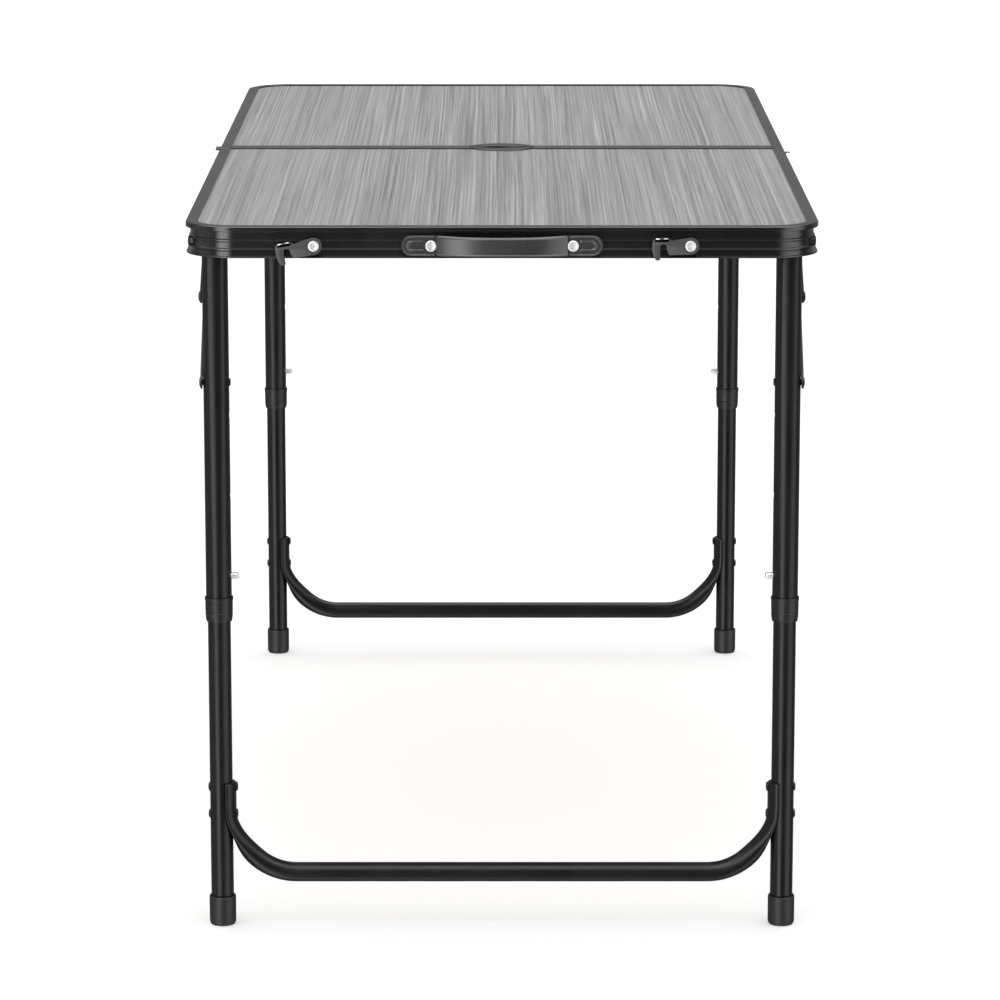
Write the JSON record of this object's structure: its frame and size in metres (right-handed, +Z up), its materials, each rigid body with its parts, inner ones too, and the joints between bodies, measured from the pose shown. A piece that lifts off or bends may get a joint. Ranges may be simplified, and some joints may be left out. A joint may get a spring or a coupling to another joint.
{
  "type": "folding table",
  "caption": "Folding camping table with a wood-grain top in two hinged halves, telescoping legs that fold under, breaking stays, latch hooks and a carrying handle.",
  "frame": {"origin": "on the floor under the middle of the top, legs at their highest setting", "axes": "+Z up, +Y along the top away from the handle end, +X across the top"},
  "size_m": [0.619, 1.216, 0.69],
  "materials": {
    "laminate": "grey wood-grain laminate on thin board",
    "edging": "satin black anodised extrusion",
    "tube": "satin black coated tube",
    "plastic": "moulded black",
    "grip": "moulded dark grey, slightly soft",
    "hook": "dark coated stamped steel",
    "bright": "bright plated",
    "steel": "black coated steel"
  },
  "bodies": {
    "near_half": {"near_edge_frame": "edging", "near_seam_rail": "edging", "near_panel": "laminate", "near_opening_trim": "plastic", "near_left_pivot_bolt": "steel", "near_right_pivot_bolt": "steel", "carry_handle": "grip", "left_latch_rivet": "bright", "right_latch_rivet": "bright", "left_side_hook_rivet": "bright", "right_side_stud": "steel", "left_hinge_near_leaf": "steel", "right_hinge_near_leaf": "steel"},
    "far_half": {"far_edge_frame": "edging", "far_seam_rail": "edging", "far_panel": "laminate", "far_opening_trim": "plastic", "far_left_pivot_bolt": "steel", "far_right_pivot_bolt": "steel", "right_side_hook_rivet": "bright", "left_side_stud": "steel", "left_closing_stud": "steel", "right_closing_stud": "steel", "left_hinge_far_leaf": "steel", "right_hinge_far_leaf": "steel"},
    "near_upper_legs": {"near_left_upper_tube": "tube", "near_left_collar": "plastic", "near_right_upper_tube": "tube", "near_right_collar": "plastic"},
    "near_lower_legs": {"near_crossbar": "tube", "near_left_lower_tube": "tube", "near_left_foot": "plastic", "near_right_lower_tube": "tube", "near_right_foot": "plastic"},
    "near_left_button": {"near_left_snap_button": "bright"},
    "near_left_upper_link": {"near_left_upper_stay": "steel"},
    "near_left_lower_link": {"near_left_lower_stay": "steel"},
    "near_right_button": {"near_right_snap_button": "bright"},
    "near_right_upper_link": {"near_right_upper_stay": "steel"},
    "near_right_lower_link": {"near_right_lower_stay": "steel"},
    "far_upper_legs": {"far_left_upper_tube": "tube", "far_left_collar": "plastic", "far_right_upper_tube": "tube", "far_right_collar": "plastic"},
    "far_lower_legs": {"far_crossbar": "tube", "far_left_lower_tube": "tube", "far_left_foot": "plastic", "far_right_lower_tube": "tube", "far_right_foot": "plastic"},
    "far_left_button": {"far_left_snap_button": "bright"},
    "far_left_upper_link": {"far_left_upper_stay": "steel"},
    "far_left_lower_link": {"far_left_lower_stay": "steel"},
    "far_right_button": {"far_right_snap_button": "bright"},
    "far_right_upper_link": {"far_right_upper_stay": "steel"},
    "far_right_lower_link": {"far_right_lower_stay": "steel"},
    "left_latch": {"left_latch_hook": "hook"},
    "right_latch": {"right_latch_hook": "hook"},
    "left_side_catch": {"left_side_hook": "hook"},
    "right_side_catch": {"right_side_hook": "hook"}
  },
  "joints": [
    {"name": "top_fold", "type": "hinge", "parent": "near_half", "child": "far_half", "pos_m": [0, 0, 0.6565], "axis": [-1, 0, 0], "range_deg": [0, 75]},
    {"name": "near_leg_fold", "type": "hinge", "parent": "near_half", "child": "near_upper_legs", "pos_m": [0, -0.565, 0.672], "axis": [1, 0, 0], "range_deg": [0, 85]},
    {"name": "near_height", "type": "slide", "parent": "near_upper_legs", "child": "near_lower_legs", "axis": [0, 0, 1], "range_m": [0, 0.156], "deforming": ["near_left_snap_button", "near_right_snap_button"]},
    {"name": "near_left_button_press", "type": "slide", "parent": "near_lower_legs", "child": "near_left_button", "axis": [-1, 0, 0], "range_m": [0, 0.008], "stiffness_N_per_m": 600, "deforming": ["near_left_snap_button"]},
    {"name": "near_left_upper_stay_turn", "type": "hinge", "parent": "near_half", "child": "near_left_upper_link", "pos_m": [-0.2895, -0.418, 0.672], "axis": [1, 0, 0], "range_deg": [-38.5, 0]},
    {"name": "near_left_lower_stay_turn", "type": "hinge", "parent": "near_upper_legs", "child": "near_left_lower_link", "pos_m": [-0.2861, -0.565, 0.536], "axis": [1, 0, 0], "range_deg": [0, 37.5]},
    {"name": "near_right_button_press", "type": "slide", "parent": "near_lower_legs", "child": "near_right_button", "axis": [1, 0, 0], "range_m": [0, 0.008], "stiffness_N_per_m": 600, "deforming": ["near_right_snap_button"]},
    {"name": "near_right_upper_stay_turn", "type": "hinge", "parent": "near_half", "child": "near_right_upper_link", "pos_m": [0.2895, -0.418, 0.672], "axis": [1, 0, 0], "range_deg": [-38.5, 0]},
    {"name": "near_right_lower_stay_turn", "type": "hinge", "parent": "near_upper_legs", "child": "near_right_lower_link", "pos_m": [0.2861, -0.565, 0.536], "axis": [1, 0, 0], "range_deg": [0, 37.5]},
    {"name": "far_leg_fold", "type": "hinge", "parent": "far_half", "child": "far_upper_legs", "pos_m": [0, 0.565, 0.672], "axis": [-1, 0, 0], "range_deg": [0, 85]},
    {"name": "far_height", "type": "slide", "parent": "far_upper_legs", "child": "far_lower_legs", "axis": [0, 0, 1], "range_m": [0, 0.156], "deforming": ["far_left_snap_button", "far_right_snap_button"]},
    {"name": "far_left_button_press", "type": "slide", "parent": "far_lower_legs", "child": "far_left_button", "axis": [-1, 0, 0], "range_m": [0, 0.008], "stiffness_N_per_m": 600, "deforming": ["far_left_snap_button"]},
    {"name": "far_left_upper_stay_turn", "type": "hinge", "parent": "far_half", "child": "far_left_upper_link", "pos_m": [-0.2895, 0.418, 0.672], "axis": [-1, 0, 0], "range_deg": [-38.5, 0]},
    {"name": "far_left_lower_stay_turn", "type": "hinge", "parent": "far_upper_legs", "child": "far_left_lower_link", "pos_m": [-0.2861, 0.565, 0.536], "axis": [-1, 0, 0], "range_deg": [0, 37.5]},
    {"name": "far_right_button_press", "type": "slide", "parent": "far_lower_legs", "child": "far_right_button", "axis": [1, 0, 0], "range_m": [0, 0.008], "stiffness_N_per_m": 600, "deforming": ["far_right_snap_button"]},
    {"name": "far_right_upper_stay_turn", "type": "hinge", "parent": "far_half", "child": "far_right_upper_link", "pos_m": [0.2895, 0.418, 0.672], "axis": [-1, 0, 0], "range_deg": [-38.5, 0]},
    {"name": "far_right_lower_stay_turn", "type": "hinge", "parent": "far_upper_legs", "child": "far_right_lower_link", "pos_m": [0.2861, 0.565, 0.536], "axis": [-1, 0, 0], "range_deg": [0, 37.5]},
    {"name": "left_latch_turn", "type": "hinge", "parent": "near_half", "child": "left_latch", "pos_m": [-0.177, -0.6006, 0.672], "axis": [0, -1, 0], "range_deg": [-45, 79]},
    {"name": "right_latch_turn", "type": "hinge", "parent": "near_half", "child": "right_latch", "pos_m": [0.177, -0.6006, 0.672], "axis": [0, -1, 0], "range_deg": [-45, 88.5]},
    {"name": "left_side_hook_turn", "type": "hinge", "parent": "near_half", "child": "left_side_catch", "pos_m": [-0.3006, -0.01, 0.675], "axis": [-1, 0, 0], "range_deg": [-60, 25]},
    {"name": "right_side_hook_turn", "type": "hinge", "parent": "far_half", "child": "right_side_catch", "pos_m": [0.3006, 0.01, 0.675], "axis": [1, 0, 0], "range_deg": [-60, 25]}
  ],
  "couplings": [
    {"joint": "near_left_upper_stay_turn", "follows": "near_leg_fold", "ratio": -0.44632},
    {"joint": "near_left_lower_stay_turn", "follows": "near_leg_fold", "ratio": 0.43606},
    {"joint": "near_right_upper_stay_turn", "follows": "near_leg_fold", "ratio": -0.44632},
    {"joint": "near_right_lower_stay_turn", "follows": "near_leg_fold", "ratio": 0.43606},
    {"joint": "far_left_upper_stay_turn", "follows": "far_leg_fold", "ratio": -0.44632},
    {"joint": "far_left_lower_stay_turn", "follows": "far_leg_fold", "ratio": 0.43606},
    {"joint": "far_right_upper_stay_turn", "follows": "far_leg_fold", "ratio": -0.44632},
    {"joint": "far_right_lower_stay_turn", "follows": "far_leg_fold", "ratio": 0.43606}
  ]
}
